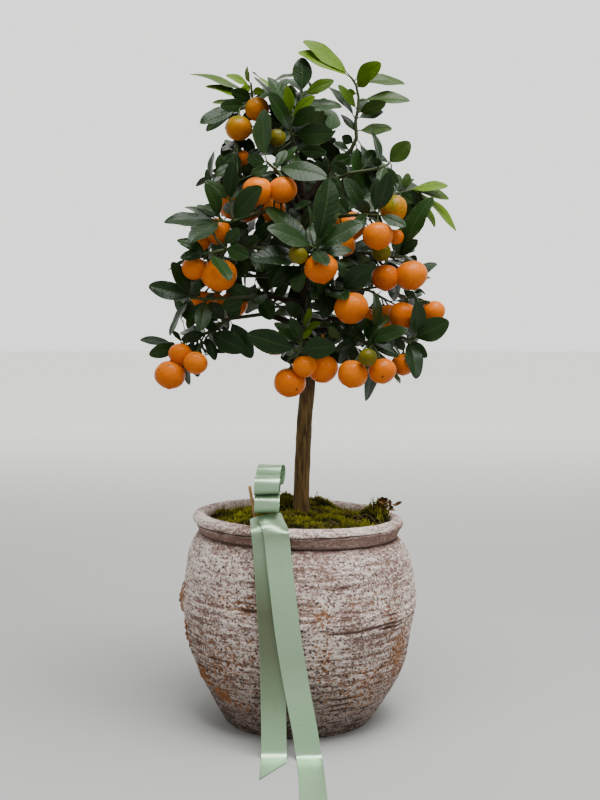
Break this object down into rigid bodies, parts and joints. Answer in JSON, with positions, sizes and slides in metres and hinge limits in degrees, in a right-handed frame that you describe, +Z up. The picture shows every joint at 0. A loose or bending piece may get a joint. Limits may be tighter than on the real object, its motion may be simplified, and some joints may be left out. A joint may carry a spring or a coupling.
{
  "type": "potted citrus bonsai",
  "caption": "Small citrus tree grown as a standard, with orange fruits, in a round whitewashed terracotta pot with moss and a satin ribbon bow on a pick.",
  "frame": {"origin": "centre of the pot's flat underside", "axes": "+Z up along the pot's axis and the stem, +X to the right of the front view, which looks along +Y at the bow and its tails"},
  "size_m": [0.3382, 0.4224, 0.7265],
  "materials": {
    "whitewashed_terracotta": "thrown terracotta with a worn, pitted whitewash and rust coloured patches",
    "potting_soil": null,
    "moss": "olive green cushion moss",
    "bark": "brown bark with fine grain",
    "pick_wood": "plain pale wood",
    "satin_ribbon": "sage green satin, bare of writing",
    "ripe_fruit": null,
    "ripening_fruit": "glossy yellow orange peel",
    "olive_fruit": "glossy olive green peel",
    "leaf": "leathery dark green leaf with a waxy sheen",
    "young_leaf": "soft yellow green young leaf"
  },
  "bodies": {
    "root": {"pot": "whitewashed_terracotta", "soil": "potting_soil", "moss": "moss", "pick": "pick_wood", "ribbon_bow": "satin_ribbon", "ribbon_tail_short": "satin_ribbon", "ribbon_tail_long": "satin_ribbon", "trunk": "bark", "fruit_top_centre_1": "olive_fruit", "fruit_top_left_1": "ripening_fruit", "fruit_top_left_2": "ripening_fruit", "fruit_left_upper_1": "ripe_fruit", "fruit_upper_front_1": "ripe_fruit", "fruit_left_middle_1": "ripe_fruit", "fruit_left_middle_2": "ripe_fruit", "fruit_lower_left_1": "ripe_fruit", "fruit_lower_centre_1": "ripe_fruit", "fruit_centre_1": "olive_fruit", "fruit_centre_2": "ripe_fruit", "fruit_right_centre_1": "ripe_fruit", "fruit_right_middle_1": "ripe_fruit", "fruit_right_middle_2": "olive_fruit", "fruit_right_middle_3": "ripe_fruit", "fruit_right_upper_1": "ripe_fruit", "fruit_right_upper_2": "ripening_fruit", "fruit_right_upper_3": "ripe_fruit", "fruit_lower_right_1": "ripe_fruit", "fruit_lower_right_2": "ripe_fruit", "fruit_lower_right_3": "olive_fruit", "fruit_lower_far_right_1": "ripe_fruit", "fruit_lower_far_right_2": "ripe_fruit", "fruit_lower_far_right_3": "ripe_fruit", "fruit_rear_upper_left_1": "ripe_fruit", "fruit_rear_left_1": "ripe_fruit", "fruit_rear_right_1": "ripe_fruit", "fruit_rear_low_1": "ripe_fruit", "spray_top_right": "young_leaf", "spray_top_centre": "leaf", "spray_top_left": "leaf", "spray_left_upper": "leaf", "spray_upper_front": "leaf", "spray_left_middle": "leaf", "spray_left_lower": "leaf", "spray_lower_left": "leaf", "spray_lower_centre": "leaf", "spray_centre": "leaf", "spray_right_centre": "leaf", "spray_right_middle": "leaf", "spray_right_upper": "leaf", "spray_far_right": "leaf", "spray_upper_right": "leaf", "spray_lower_right": "leaf", "spray_lower_far_right": "leaf", "spray_rear_top": "leaf", "spray_rear_upper_left": "leaf", "spray_rear_upper_right": "leaf", "spray_rear_left": "leaf", "spray_rear_right": "leaf", "spray_rear_low": "leaf"}
  },
  "joints": []
}
